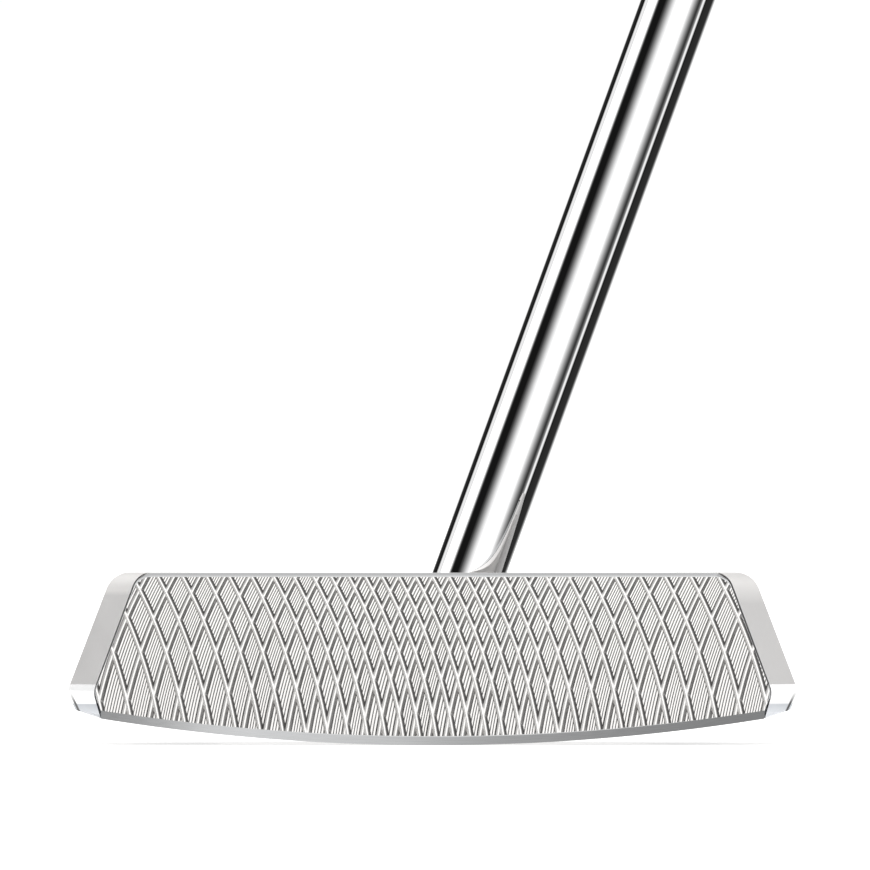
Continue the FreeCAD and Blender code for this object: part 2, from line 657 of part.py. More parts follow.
# ---------------------------------------------------------------------- shaft
shaft = new_body("shaft")
STEPS = 10
outer = [(dim("tip_rad"), dim("shaft_start"))]
inner = [(dim("tip_bore"), dim("shaft_start"))]
for k in range(STEPS):
    at = dim("step_from") + dim("step_pitch") * float(k)
    low = dim("step_rise") * float(k)
    high = dim("step_rise") * float(k + 1)
    outer.append((dim("tip_rad") + low, at))
    outer.append((dim("tip_rad") + high, at + dim("step_cone")))
    inner.append((dim("tip_bore") + low, at))
    inner.append((dim("tip_bore") + high, at + dim("step_cone")))
outer.append((dim("tip_rad") + dim("step_rise") * float(STEPS), dim("shaft_end")))
inner.append((dim("tip_bore") + dim("step_rise") * float(STEPS), dim("shaft_end")))
shaft_sketch = new_sketch(shaft, "shaft_section", "XZ_Plane")
outline(shaft_sketch, outer + inner[::-1])
spin(shaft, "shaft_tube", shaft_sketch)
along_shaft(shaft)
pieces.append(shaft)

# ------------------------------------------------------------------ grip tape
tape = new_body("grip_tape")
tape_sketch = new_sketch(tape, "tape_section", "XZ_Plane")
outline(tape_sketch, [
    (dim("tape_inner"), dim("tape_start")),
    (dim("tape_outer"), dim("tape_start")),
    (dim("tape_outer"), dim("tape_end")),
    (dim("tape_inner"), dim("tape_end")),
])
spin(tape, "tape_wrap", tape_sketch)
along_shaft(tape)
pieces.append(tape)

# ---------------------------------------------------------------- grip bodies
# Sections along the shaft: distance, flat front, half width, back, front corner, back corner.
# The flat front faces away from the golfer; the back is round and swells near the butt.
SECTIONS = [
    (0.0, 9.1, 9.2, 9.2, 6.5, 8.4),
    (14.0, 9.8, 10.4, 10.0, 5.4, 9.4),
    (80.0, 11.0, 12.4, 11.4, 3.8, 11.2),
    (170.0, 12.2, 13.8, 13.6, 3.6, 12.6),
    (225.0, 12.6, 14.2, 16.2, 3.6, 13.2),
    (260.2, 12.6, 14.0, 15.2, 3.6, 13.0),
]


def grip_section(body, name, station, inset, at):
    sketch = new_sketch(body, name, "XY_Plane", at)
    inset = size(inset)
    front, half, back, corner_a, corner_b = station[1:]
    outline(sketch, [
        (-(front - inset), -(half - inset), corner_a - inset),
        (back - inset, -(half - inset), corner_b - inset),
        (back - inset, half - inset, corner_b - inset),
        (-(front - inset), half - inset, corner_a - inset),
    ])
    return sketch


def station_at(distance):
    """Grip section between two of the listed ones."""
    for low, high in zip(SECTIONS[:-1], SECTIONS[1:]):
        if low[0] <= distance <= high[0]:
            w = (distance - low[0]) / (high[0] - low[0])
            return tuple(a + (b - a) * w for a, b in zip(low, high))
    return SECTIONS[-1]


def grip_loft(body, name, kind, inset, stations, closed_at_ends):
    sketches = []
    for number, (at, station) in enumerate(stations):
        sketches.append(grip_section(body, "%s_%d" % (name, number), station, inset, at))
    feature = body.newObject("PartDesign::%sLoft" % kind, name)
    feature.Profile = sketches[0]
    feature.Sections = sketches[1:]
    feature.Ruled = False
    return feature


def minus(number, inset):
    return Size(number - inset.value, "(%r - %s)" % (number, inset.text))


skin = new_body("grip_skin")
outer_stations = [(dim("grip_start") + s[0], s) for s in SECTIONS]
skin_outer = grip_loft(skin, "skin_outside", "Additive", 0.0, outer_stations, True)
vol = checked(skin_outer)
print("skin outside", vol)
inner_stations = []
first = dim("core_start").value - dim("grip_start").value
inner_stations.append((dim("core_start"), station_at(first)))
for s in SECTIONS[1:-1]:
    inner_stations.append((dim("grip_start") + s[0], s))
inner_stations.append((dim("grip_skin_end") + 1.0, SECTIONS[-1]))
skin_inner = grip_loft(skin, "skin_inside", "Subtractive", dim("skin_thick"), inner_stations, False)
vol = checked(skin_inner, False, vol)
mouth_sketch = new_sketch(skin, "mouth_outline", "XY_Plane", dim("grip_start") - 2.0)
circle(mouth_sketch, 0, 0, dim("grip_mouth"))
mouth = pocket(skin, "mouth", mouth_sketch, dim("core_start") - dim("grip_start") + 4.0, backwards=True)
vol = checked(mouth, False, vol)
along_shaft(skin)

core = new_body("grip_core")
core_stations = [(dim("core_start") + 0.05, station_at(first))]
for s in SECTIONS[1:-1]:
    core_stations.append((dim("grip_start") + s[0], s))
core_stations.append((dim("core_end"), SECTIONS[-1]))
core_body = grip_loft(core, "core_block", "Additive", dim("skin_thick") + 0.08, core_stations, True)
vol = checked(core_body)
core_bore_sketch = new_sketch(core, "core_bore_outline", "XY_Plane", dim("core_start") - 3.0)
circle(core_bore_sketch, 0, 0, dim("grip_bore"))
core_bore = pocket(core, "core_bore", core_bore_sketch, dim("grip_end") - dim("core_start") + 6.0, backwards=True)
vol = checked(core_bore, False, vol)
along_shaft(core)
pieces.append(core)
pieces.append(skin)

cap = new_body("grip_cap")
cap_sketch = grip_section(cap, "cap_outline", SECTIONS[-1], 0.0, dim("grip_skin_end") + dim("cap_gap"))
cap_pad = pad(cap, "cap_disc", cap_sketch, dim("grip_end") - dim("grip_skin_end") - dim("cap_gap"))
vol = checked(cap_pad)
top_edges = edges_of(cap_pad, lambda e, b: b.ZMin > dim("grip_end").value - 0.01)
cap_round = round_edges(cap, "cap_round", cap_pad, top_edges, dim("cap_edge"))
vol = checked(cap_round, False, vol)
vent_sketch = new_sketch(cap, "vent_outline", "XY_Plane", dim("grip_skin_end") - 2.0)
circle(vent_sketch, 0, 0, dim("vent_rad"))
vent = pocket(cap, "vent", vent_sketch, dim("grip_end") - dim("grip_skin_end") + 6.0, backwards=True)
vol = checked(vent, False, vol)
along_shaft(cap)
pieces.append(cap)

# ---------------------------------------------------------------- check, write
doc.recompute()
trouble = []
for obj in doc.Objects:
    if "Invalid" in obj.State or "Error" in obj.State:
        trouble.append("%s %s" % (obj.Name, obj.State))
for piece in pieces:
    if piece.Shape.isNull() or not piece.Shape.isValid():
        trouble.append(piece.Label + " has no valid shape")
    elif len(piece.Shape.Solids) != 1:
        trouble.append("%s has %d solids" % (piece.Label, len(piece.Shape.Solids)))
if trouble:
    raise RuntimeError("; ".join(trouble))

for piece in pieces:
    box = piece.Shape.BoundBox
    print("%-18s volume %10.1f  x %.2f..%.2f  y %.2f..%.2f  z %.2f..%.2f" % (
        piece.Label, piece.Shape.Volume, box.XMin, box.XMax, box.YMin, box.YMax, box.ZMin, box.ZMax))
    piece.Shape.exportStep("parts/%s.step" % piece.Label)
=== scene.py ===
import math

import bmesh
import bpy
import numpy as np
from mathutils import Matrix, Vector


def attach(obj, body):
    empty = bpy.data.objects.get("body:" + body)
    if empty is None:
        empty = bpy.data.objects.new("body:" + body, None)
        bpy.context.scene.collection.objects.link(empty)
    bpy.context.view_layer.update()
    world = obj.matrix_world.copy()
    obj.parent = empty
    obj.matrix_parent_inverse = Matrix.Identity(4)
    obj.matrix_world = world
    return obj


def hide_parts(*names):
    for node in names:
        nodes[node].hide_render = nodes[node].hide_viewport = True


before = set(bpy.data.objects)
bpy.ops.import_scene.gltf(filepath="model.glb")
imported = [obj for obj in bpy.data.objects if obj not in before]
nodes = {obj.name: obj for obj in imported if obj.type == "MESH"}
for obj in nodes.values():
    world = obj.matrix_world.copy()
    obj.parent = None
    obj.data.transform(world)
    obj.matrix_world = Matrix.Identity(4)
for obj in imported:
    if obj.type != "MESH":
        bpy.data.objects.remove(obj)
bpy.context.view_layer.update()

MM = 0.001
LEAN = math.radians(20.0)
LOFT = math.radians(3.0)
FOOT_X = -3.70
BASE_Y = -13.65      # plane of the plate's front at the ground, mm
RISE = 0.35          # raised striking area above that plane, mm
FLOOR_DEPTH = 0.28   # milled cell floors below the ridge tops, mm
GROOVE_DEPTH = 0.036 # tool lines in those floors, mm


# ------------------------------------------------------------------ small kit
def new_object(name, verts, faces, smooth=False):
    mesh = bpy.data.meshes.new(name)
    mesh.from_pydata([tuple(v) for v in verts], [], [tuple(f) for f in faces])
    mesh.validate(clean_customdata=False)
    mesh.update()
    obj = bpy.data.objects.new(name, mesh)
    bpy.context.scene.collection.objects.link(obj)
    if smooth:
        for poly in mesh.polygons:
            poly.use_smooth = True
    return obj


def from_bmesh(name, bm, smooth=False):
    mesh = bpy.data.meshes.new(name)
    bm.to_mesh(mesh)
    bm.free()
    obj = bpy.data.objects.new(name, mesh)
    bpy.context.scene.collection.objects.link(obj)
    if smooth:
        for poly in mesh.polygons:
            poly.use_smooth = True
    return obj


def smooth_by_angle(obj, degrees):
    """Smooth shading with edges sharper than the angle kept crisp."""
    mesh = obj.data
    for poly in mesh.polygons:
        poly.use_smooth = True
    bm = bmesh.new()
    bm.from_mesh(mesh)
    limit = math.radians(degrees)
    for edge in bm.edges:
        if len(edge.link_faces) == 2:
            edge.smooth = edge.calc_face_angle(0.0) <= limit
        else:
            edge.smooth = False
    bm.to_mesh(mesh)
    bm.free()


def face_point(x, up, out):
    """Point of the lofted face: x across, up along the plane, out along its normal (mm)."""
    return Vector((x,
                   BASE_Y + up * math.sin(LOFT) - out * math.cos(LOFT),
                   up * math.cos(LOFT) + out * math.sin(LOFT))) * MM


def shaft_point(lx, ly, s):
    """Point in the shaft's own frame: s along the axis from the ground (mm)."""
    return Vector((FOOT_X + lx * math.cos(LEAN) + s * math.sin(LEAN),
                   ly,
                   -lx * math.sin(LEAN) + s * math.cos(LEAN))) * MM


class Nodes:
    """Short way to write a node tree."""

    def __init__(self, name):
        self.mat = bpy.data.materials.new(name)
        self.mat.use_nodes = True
        self.tree = self.mat.node_tree
        self.tree.nodes.clear()
        self.out = self.add("ShaderNodeOutputMaterial")
        self.bsdf = self.add("ShaderNodeBsdfPrincipled")
        self.link(self.bsdf, "BSDF", self.out, "Surface")

    def add(self, kind, **props):
        node = self.tree.nodes.new(kind)
        for key, value in props.items():
            setattr(node, key, value)
        return node

    def link(self, a, out, b, inp):
        self.tree.links.new(a.outputs[out], b.inputs[inp])

    def coords(self, scale=(1, 1, 1), rot=(0, 0, 0)):
        tex = self.add("ShaderNodeTexCoord")
        mapping = self.add("ShaderNodeMapping")
        mapping.inputs["Scale"].default_value = scale
        mapping.inputs["Rotation"].default_value = rot
        self.link(tex, "Object", mapping, "Vector")
        return mapping

    def noise(self, vector, scale, detail=2.0, rough=0.5):
        node = self.add("ShaderNodeTexNoise")
        node.inputs["Scale"].default_value = scale
        node.inputs["Detail"].default_value = detail
        node.inputs["Roughness"].default_value = rough
        self.link(vector, "Vector", node, "Vector")
        return node

    def ramp(self, source, out, stops):
        node = self.add("ShaderNodeValToRGB")
        ramp = node.color_ramp
        while len(ramp.elements) > 1:
            ramp.elements.remove(ramp.elements[-1])
        ramp.elements[0].position = stops[0][0]
        ramp.elements[0].color = grey(stops[0][1])
        for position, colour in stops[1:]:
            element = ramp.elements.new(position)
            element.color = grey(colour)
        self.link(source, out, node, "Fac")
        return node

    def bump(self, source, out, strength, distance, normal=None):
        node = self.add("ShaderNodeBump")
        node.inputs["Strength"].default_value = strength
        node.inputs["Distance"].default_value = distance
        self.link(source, out, node, "Height")
        if normal is not None:
            self.link(normal, "Normal", node, "Normal")
        return node


def grey(value):
    if isinstance(value, (tuple, list)):
        return (value[0], value[1], value[2], 1.0)
    return (value, value, value, 1.0)


def paint(obj, mat):
    obj.data.materials.clear()
    obj.data.materials.append(mat)


# ------------------------------------------------------------------ materials
def satin_steel():
    """Bead-blasted stainless steel, lower front corners ground smoother; painted reflection on those corners, painted
    highlight along the upper front, painted shade on the heel side.
    """
    n = Nodes("satin_steel")
    c = n.coords()

    def math_node(op, a, b, clamp=False):
        node = n.add("ShaderNodeMath", operation=op)
        node.use_clamp = clamp
        for slot, value in enumerate((a, b)):
            if isinstance(value, (int, float)):
                node.inputs[slot].default_value = value
            else:
                n.tree.links.new(value, node.inputs[slot])
        return node.outputs[0]

    def step(value, start, end):
        """0 at start, 1 at end."""
        node = n.add("ShaderNodeMapRange")
        n.tree.links.new(value, node.inputs["Value"])
        node.inputs["From Min"].default_value = start
        node.inputs["From Max"].default_value = end
        return node.outputs["Result"]

    def blend(fac, a, b):
        node = n.add("ShaderNodeMix", data_type="RGBA")
        n.tree.links.new(fac, node.inputs["Factor"])
        n.tree.links.new(a, node.inputs["A"])
        n.tree.links.new(b, node.inputs["B"])
        return node.outputs["Result"]

    def fore_any(split):
        return step(split.outputs["Y"], -0.0060, -0.0070)

    split = n.add("ShaderNodeSeparateXYZ")
    n.link(c, "Vector", split, "Vector")
    across = math_node("ABSOLUTE", split.outputs["X"], 0.0)
    # lower front corners: ground smoother and without grain bump; their colour is a painted reflection
    outer = step(across, 0.04795, 0.04805)
    low = step(split.outputs["Z"], 0.00888, 0.00878)
    fore = step(split.outputs["Y"], -0.0092, -0.0093)
    ground = math_node("MULTIPLY", math_node("MULTIPLY", outer, low), fore)

    clouds = n.noise(c, 160.0, 3.0)
    # painted shade: the heel side of the body is painted 7% darker than the toe side
    painted_shade_toe = n.ramp(clouds, "Fac", [(0.3, 1.0), (0.7, 1.0)]).outputs["Color"]
    painted_shade_heel = n.ramp(clouds, "Fac", [(0.3, 0.93), (0.7, 0.93)]).outputs["Color"]
    blasted = n.ramp(clouds, "Fac", [(0.3, (0.735, 0.725, 0.718)), (0.7, (0.775, 0.765, 0.758))])
    # painted highlight: the upper front of the body is painted lighter, with a sharp edge on the toe side and a
    # softer one on the heel side
    painted_highlight = n.ramp(clouds, "Fac", [(0.3, (0.90, 0.885, 0.872)), (0.7, (0.93, 0.915, 0.90))])
    heel_side = step(split.outputs["X"], -0.046, 0.046)
    painted_highlight_toe = step(split.outputs["Z"], 0.0217, 0.0224)
    painted_highlight_heel = step(split.outputs["Z"], 0.0205, 0.0236)
    painted_highlight_edge = math_node("ADD", math_node("MULTIPLY", painted_highlight_heel, heel_side),
                          math_node("MULTIPLY", painted_highlight_toe, math_node("SUBTRACT", 1.0, heel_side)))
    # mask of the painted highlight: upper front of the body
    high = math_node("MULTIPLY", painted_highlight_edge, fore_any(split))
    # painted reflection on the ground corners: white above, a grey-blue band lower down, darkest just below the
    # white; the toe-side corner is painted darker than the heel-side one
    painted_reflection_height = step(split.outputs["Z"], 0.0046, 0.0064)

    def painted_reflection_ramp(level):
        node = n.add("ShaderNodeValToRGB")
        stops = node.color_ramp
        stops.elements[0].position = 0.0
        stops.elements[0].color = grey((0.74 * level, 0.76 * level, 0.79 * level))
        stops.elements[1].position = 1.0
        stops.elements[1].color = grey((1.0, 1.0, 1.0))
        for position, colour in ((0.74, (0.56 * level, 0.58 * level, 0.61 * level)), (0.86, (1.0, 1.0, 1.0))):
            element = stops.elements.new(position)
            element.color = grey(colour)
        n.tree.links.new(painted_reflection_height, node.inputs["Fac"])
        return node.outputs["Color"]

    painted_corner_reflection = blend(heel_side, painted_reflection_ramp(0.87), painted_reflection_ramp(1.08))
    # painted reflection: a thin dark line along the slanted outer edge of each ground corner
    painted_dark_reflection = n.ramp(clouds, "Fac", [(0.3, 0.10), (0.7, 0.13)])
    slant = math_node("SUBTRACT", math_node("MULTIPLY", math_node("SUBTRACT", across, 0.05127), 0.904),
                      math_node("MULTIPLY", math_node("SUBTRACT", split.outputs["Z"], 0.00486), 0.429))
    painted_edge_line = math_node("MULTIPLY", step(math_node("ABSOLUTE", slant, 0.0), 0.00020, 0.00012),
                     step(split.outputs["Z"], 0.0078, 0.0062))
    # blasted tone times the painted shade of the heel side
    toned = n.add("ShaderNodeMix", data_type="RGBA", blend_type="MULTIPLY")
    toned.inputs["Factor"].default_value = 1.0
    n.link(blasted, "Color", toned, "A")
    n.tree.links.new(blend(heel_side, painted_shade_toe, painted_shade_heel), toned.inputs["B"])
    # blend in the painted highlight
    tone = blend(high, toned.outputs["Result"], painted_highlight.outputs["Color"])
    # painted reflection on the ground corners
    tone = blend(ground, tone, painted_corner_reflection)
    # painted dark reflection line at the corners' outer edge
    tone = blend(math_node("MULTIPLY", painted_edge_line, fore), tone, painted_dark_reflection.outputs["Color"])
    n.tree.links.new(tone, n.bsdf.inputs["Base Color"])
    rough = n.ramp(clouds, "Fac", [(0.3, 0.50), (0.7, 0.56)])
    smooth = n.ramp(clouds, "Fac", [(0.3, 0.16), (0.7, 0.20)])
    n.tree.links.new(blend(ground, rough.outputs["Color"], smooth.outputs["Color"]),
                     n.bsdf.inputs["Roughness"])
    n.tree.links.new(math_node("SUBTRACT", 0.9, math_node("MULTIPLY", ground, 0.6)),
                     n.bsdf.inputs["Metallic"])
    keep = math_node("SUBTRACT", 1.0, math_node("MULTIPLY", ground, 0.92))
    grain = n.noise(c, 5200.0, 2.0)
    speck = n.noise(c, 1900.0, 1.0)
    b1 = n.bump(grain, "Fac", 0.35, 0.00003)
    b2 = n.bump(speck, "Fac", 0.15, 0.00005, b1)
    n.tree.links.new(keep, b1.inputs["Strength"])
    n.tree.links.new(math_node("MULTIPLY", keep, 0.3), b2.inputs["Strength"])
    n.tree.links.new(math_node("MULTIPLY", keep, 0.35), b1.inputs["Strength"])
    n.link(b2, "Normal", n.bsdf, "Normal")
    return n.mat


def milled_steel():
    """Cut stainless steel: very fine tool lines across the ridges and cell floors; its colour is painted light and
    shade, set per facet.
    """
    n = Nodes("milled_steel")
    # colour per facet from an attribute that holds painted light and shade
    attr = n.add("ShaderNodeAttribute", attribute_name="painted_facet_light", attribute_type="GEOMETRY")
    tone = n.ramp(attr, "Fac", [(0.0, (0.0, 0.0, 0.0)), (1.0, (1.0, 0.982, 0.962))])
    c = n.coords()
    clouds = n.noise(c, 420.0, 3.0)
    mix = n.add("ShaderNodeMix", data_type="RGBA", blend_type="MULTIPLY")
    mix.inputs["Factor"].default_value = 0.18
    n.link(tone, "Color", mix, "A")
    veil = n.ramp(clouds, "Fac", [(0.3, 0.82), (0.7, 1.0)])
    n.link(veil, "Color", mix, "B")
    n.link(mix, "Result", n.bsdf, "Base Color")
    rough = n.ramp(clouds, "Fac", [(0.3, 0.20), (0.7, 0.27)])
    n.link(rough, "Color", n.bsdf, "Roughness")
    fine = n.noise(n.coords(scale=(1.0, 1.0, 0.12)), 9000.0, 1.0)
    b = n.bump(fine, "Fac", 0.25, 0.000012)
    n.link(b, "Normal", n.bsdf, "Normal")
    n.bsdf.inputs["Metallic"].default_value = 1.0
    return n.mat


def edge_steel():
    """The plate's plain cut edges: finer polish than the blasted body."""
    n = Nodes("edge_steel")
    c = n.coords(scale=(0.02, 1.0, 1.0))
    lines = n.noise(c, 7000.0, 2.0)
    tone = n.ramp(lines, "Fac", [(0.3, (0.54, 0.545, 0.55)), (0.7, (0.60, 0.605, 0.61))])
    n.link(tone, "Color", n.bsdf, "Base Color")
    rough = n.ramp(lines, "Fac", [(0.3, 0.07), (0.7, 0.10)])
    n.link(rough, "Color", n.bsdf, "Roughness")
    b = n.bump(lines, "Fac", 0.12, 0.00001)
    n.link(b, "Normal", n.bsdf, "Normal")
    n.bsdf.inputs["Metallic"].default_value = 1.0
    return n.mat


def chrome():
    """Polished chrome plating with hairline polish marks round the tube."""
    n = Nodes("chrome")
    c = n.coords(rot=(0, -LEAN, 0), scale=(1.0, 1.0, 1.0))
    marks = n.noise(c, 900.0, 3.0)
    tone = n.ramp(marks, "Fac", [(0.3, (0.955, 0.955, 0.96)), (0.7, (0.98, 0.98, 0.98))])
    n.link(tone, "Color", n.bsdf, "Base Color")
    rough = n.ramp(marks, "Fac", [(0.35, 0.018), (0.75, 0.05)])
    n.link(rough, "Color", n.bsdf, "Roughness")
    n.bsdf.inputs["Metallic"].default_value = 1.0
    return n.mat


def turned_steel():
    """Machined weight: a slightly duller face with a fine grain bump."""
    n = Nodes("turned_steel")
    c = n.coords()
    clouds = n.noise(c, 600.0, 3.0)
    tone = n.ramp(clouds, "Fac", [(0.3, 0.55), (0.7, 0.66)])
    n.link(tone, "Color", n.bsdf, "Base Color")
    rough = n.ramp(clouds, "Fac", [(0.3, 0.26), (0.7, 0.38)])
    n.link(rough, "Color", n.bsdf, "Roughness")
    fine = n.noise(c, 5000.0, 2.0)
    b = n.bump(fine, "Fac", 0.15, 0.00002)
    n.link(b, "Normal", n.bsdf, "Normal")
    n.bsdf.inputs["Metallic"].default_value = 1.0
    return n.mat


def plain(name, colour, rough_low, rough_high, scale, bump_scale, strength, distance, metallic=0.0,
          specular=0.5):
    n = Nodes(name)
    c = n.coords()
    clouds = n.noise(c, scale, 4.0)
    low = tuple(v * 0.86 for v in colour)
    high = tuple(min(1.0, v * 1.12) for v in colour)
    tone = n.ramp(clouds, "Fac", [(0.3, low), (0.7, high)])
    n.link(tone, "Color", n.bsdf, "Base Color")
    rough = n.ramp(clouds, "Fac", [(0.3, rough_low), (0.7, rough_high)])
    n.link(rough, "Color", n.bsdf, "Roughness")
    fine = n.noise(c, bump_scale, 3.0)
    b = n.bump(fine, "Fac", strength, distance)
    n.link(b, "Normal", n.bsdf, "Normal")
    n.bsdf.inputs["Metallic"].default_value = metallic
    n.bsdf.inputs["Specular IOR Level"].default_value = specular
    return n.mat


M_SATIN = satin_steel()
M_MILLED = milled_steel()
M_EDGE = edge_steel()
M_CHROME = chrome()
M_WEIGHT = turned_steel()
M_RUBBER = plain("grip_rubber", (0.022, 0.022, 0.024), 0.5, 0.68, 240.0, 4200.0, 0.5, 0.00006)
M_CAP = plain("cap_rubber", (0.018, 0.018, 0.019), 0.36, 0.5, 300.0, 5200.0, 0.25, 0.00003)
M_BOND = plain("bond_film", (0.012, 0.012, 0.012), 0.6, 0.8, 400.0, 3000.0, 0.3, 0.00003)
M_PAINT = plain("sight_paint", (0.01, 0.01, 0.011), 0.25, 0.4, 500.0, 2500.0, 0.15, 0.00002)
M_GLUE = plain("glue", (0.62, 0.55, 0.38), 0.3, 0.5, 300.0, 2500.0, 0.2, 0.00003)
M_TAPE = plain("tape", (0.68, 0.62, 0.5), 0.7, 0.9, 200.0, 3000.0, 0.4, 0.00005)
M_CORE = plain("underlay", (0.06, 0.06, 0.06), 0.7, 0.9, 300.0, 3000.0, 0.4, 0.00008)

for name, mat in (("head_body", M_SATIN), ("face_bond", M_BOND), ("hosel_post", M_WEIGHT),
                  ("shaft_epoxy", M_GLUE), ("toe_sole_weight", M_WEIGHT),
                  ("heel_sole_weight", M_WEIGHT), ("sight_line_fill", M_PAINT),
                  ("grip_tape", M_TAPE), ("grip_core", M_CORE), ("grip_skin", M_RUBBER),
                  ("grip_cap", M_CAP)):
    paint(nodes[name], mat)


head = nodes["head_body"]
ease = head.modifiers.new("eased_edges", "BEVEL")
ease.width = 0.00035
ease.segments = 2
ease.limit_method = "ANGLE"
ease.angle_limit = math.radians(32)
ease.harden_normals = True


# ------------------------------------------------------------- the milled face
ARC_R = 71.01        # radius of the milled arcs, mm
ARC_Z = -9.55        # height of their centres, mm
MIRROR_Z = 13.48     # row where both families meet their pitch list
C0 = math.sqrt(ARC_R ** 2 - (MIRROR_Z - ARC_Z) ** 2)
HALF = [2.46, 4.87, 7.27, 9.83, 12.42, 15.23, 18.17, 21.35, 24.61, 27.87, 31.38, 34.97, 38.59,
        42.32, 46.30, 50.35, 54.4]
PITCH = [-v for v in reversed(HALF)] + [0.0] + HALF


def height_of(shift):
    """Height on the face at which an arc has moved sideways by shift."""
    reach = np.clip(C0 + shift, 0.0, ARC_R - 1e-6)
    return np.sqrt(ARC_R ** 2 - reach ** 2) + ARC_Z


def plateau_outline():
    """Convex outline of the raised area, (x, up) in mm, counter-clockwise."""
    def fillet(points, index, radius, steps):
        p0, p1, p2 = (Vector(points[(index + k) % len(points)]) for k in (-1, 0, 1))
        a = (p0 - p1).normalized()
        b = (p2 - p1).normalized()
        half = a.angle(b) / 2
        centre = p1 + (a + b).normalized() * (radius / math.sin(half))
        s = p1 + a * (radius / math.tan(half)) - centre
        e = p1 + b * (radius / math.tan(half)) - centre
        total = s.angle(e)
        turn = 1 if s.cross(e) > 0 else -1
        out = []
        for k in range(steps + 1):
            ang = turn * total * k / steps
            out.append(centre + Vector((s.x * math.cos(ang) - s.y * math.sin(ang),
                                        s.x * math.sin(ang) + s.y * math.cos(ang))))
        return out

    corners = [(48.1, 5.07), (49.0, 7.7), (42.74, 24.43), (-42.74, 24.43), (-49.0, 7.7), (-48.1, 5.07)]
    ring = []
    for i, c in enumerate(corners):
        if i in (1, 4):
            ring += fillet(corners, i, 2.9, 6)
        elif i in (2, 3):
            ring += fillet(corners, i, 2.7, 9)
        else:
            ring.append(Vector(c))
    # cambered lower edge from the toe back to the heel
    radius = 312.5
    drop = radius - math.sqrt(radius ** 2 - 48.1 ** 2)
    for k in range(1, 26):
        x = -48.1 + 96.2 * k / 26
        ring.append(Vector((x, 5.07 - drop + radius - math.sqrt(radius ** 2 - x ** 2))))
    return ring


def ridge_back(d):
    """Height of a backslash ridge above the floor, 0 to 1, at a distance from its crest."""
    return np.interp(d, [-0.46, -0.34, -0.08, 0.12, 0.22, 0.54], [0.0, 0.86, 1.0, 0.94, 0.76, 0.0])


def ridge_fore(d):
    return np.interp(d, [-0.52, -0.34, -0.08, 0.14, 0.50], [0.0, 0.80, 0.90, 0.80, 0.0])


def shine(level):
    """Base colour that paints light and shade into a cut facet, from the brightness it should show, 0 to 255."""
    part = level / 255.0
    linear = part / 12.92 if part <= 0.04045 else ((part + 0.055) / 1.055) ** 2.4
    return min(1.0, linear / 1.04)


